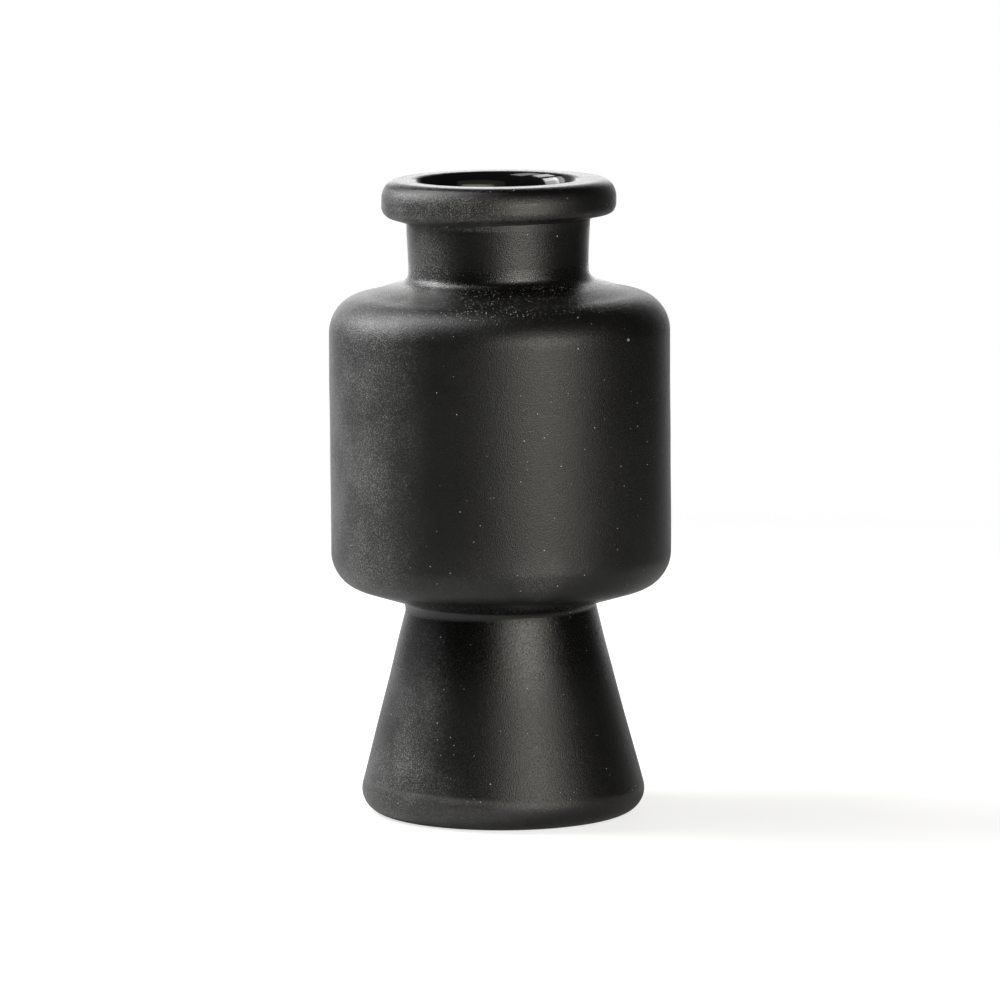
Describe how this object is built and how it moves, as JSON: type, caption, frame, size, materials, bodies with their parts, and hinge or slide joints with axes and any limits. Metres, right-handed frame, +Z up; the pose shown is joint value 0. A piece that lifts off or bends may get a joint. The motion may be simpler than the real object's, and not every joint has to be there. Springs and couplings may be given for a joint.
{
  "type": "footed glass jar",
  "caption": "Matt black glass vessel with a round bowl, sloped shoulder, short neck, thick rolled lip and conical foot, for holding wax, water or stems.",
  "frame": {"origin": "centre of the standing ring, on the surface that the vessel stands on", "axes": "+Z up along the vessel's axis, out of the mouth; +X and +Y lie in the table, and the vessel is round, so neither is special"},
  "size_m": [0.13, 0.13, 0.2418],
  "materials": {
    "black_glass": "acid-etched matt outside with fine grain, glossy inside the mouth"
  },
  "bodies": {
    "root": {"foot": "black_glass", "base_disc": "black_glass", "merese": "black_glass", "bowl": "black_glass", "neck": "black_glass", "lip_ring": "black_glass"}
  },
  "joints": []
}
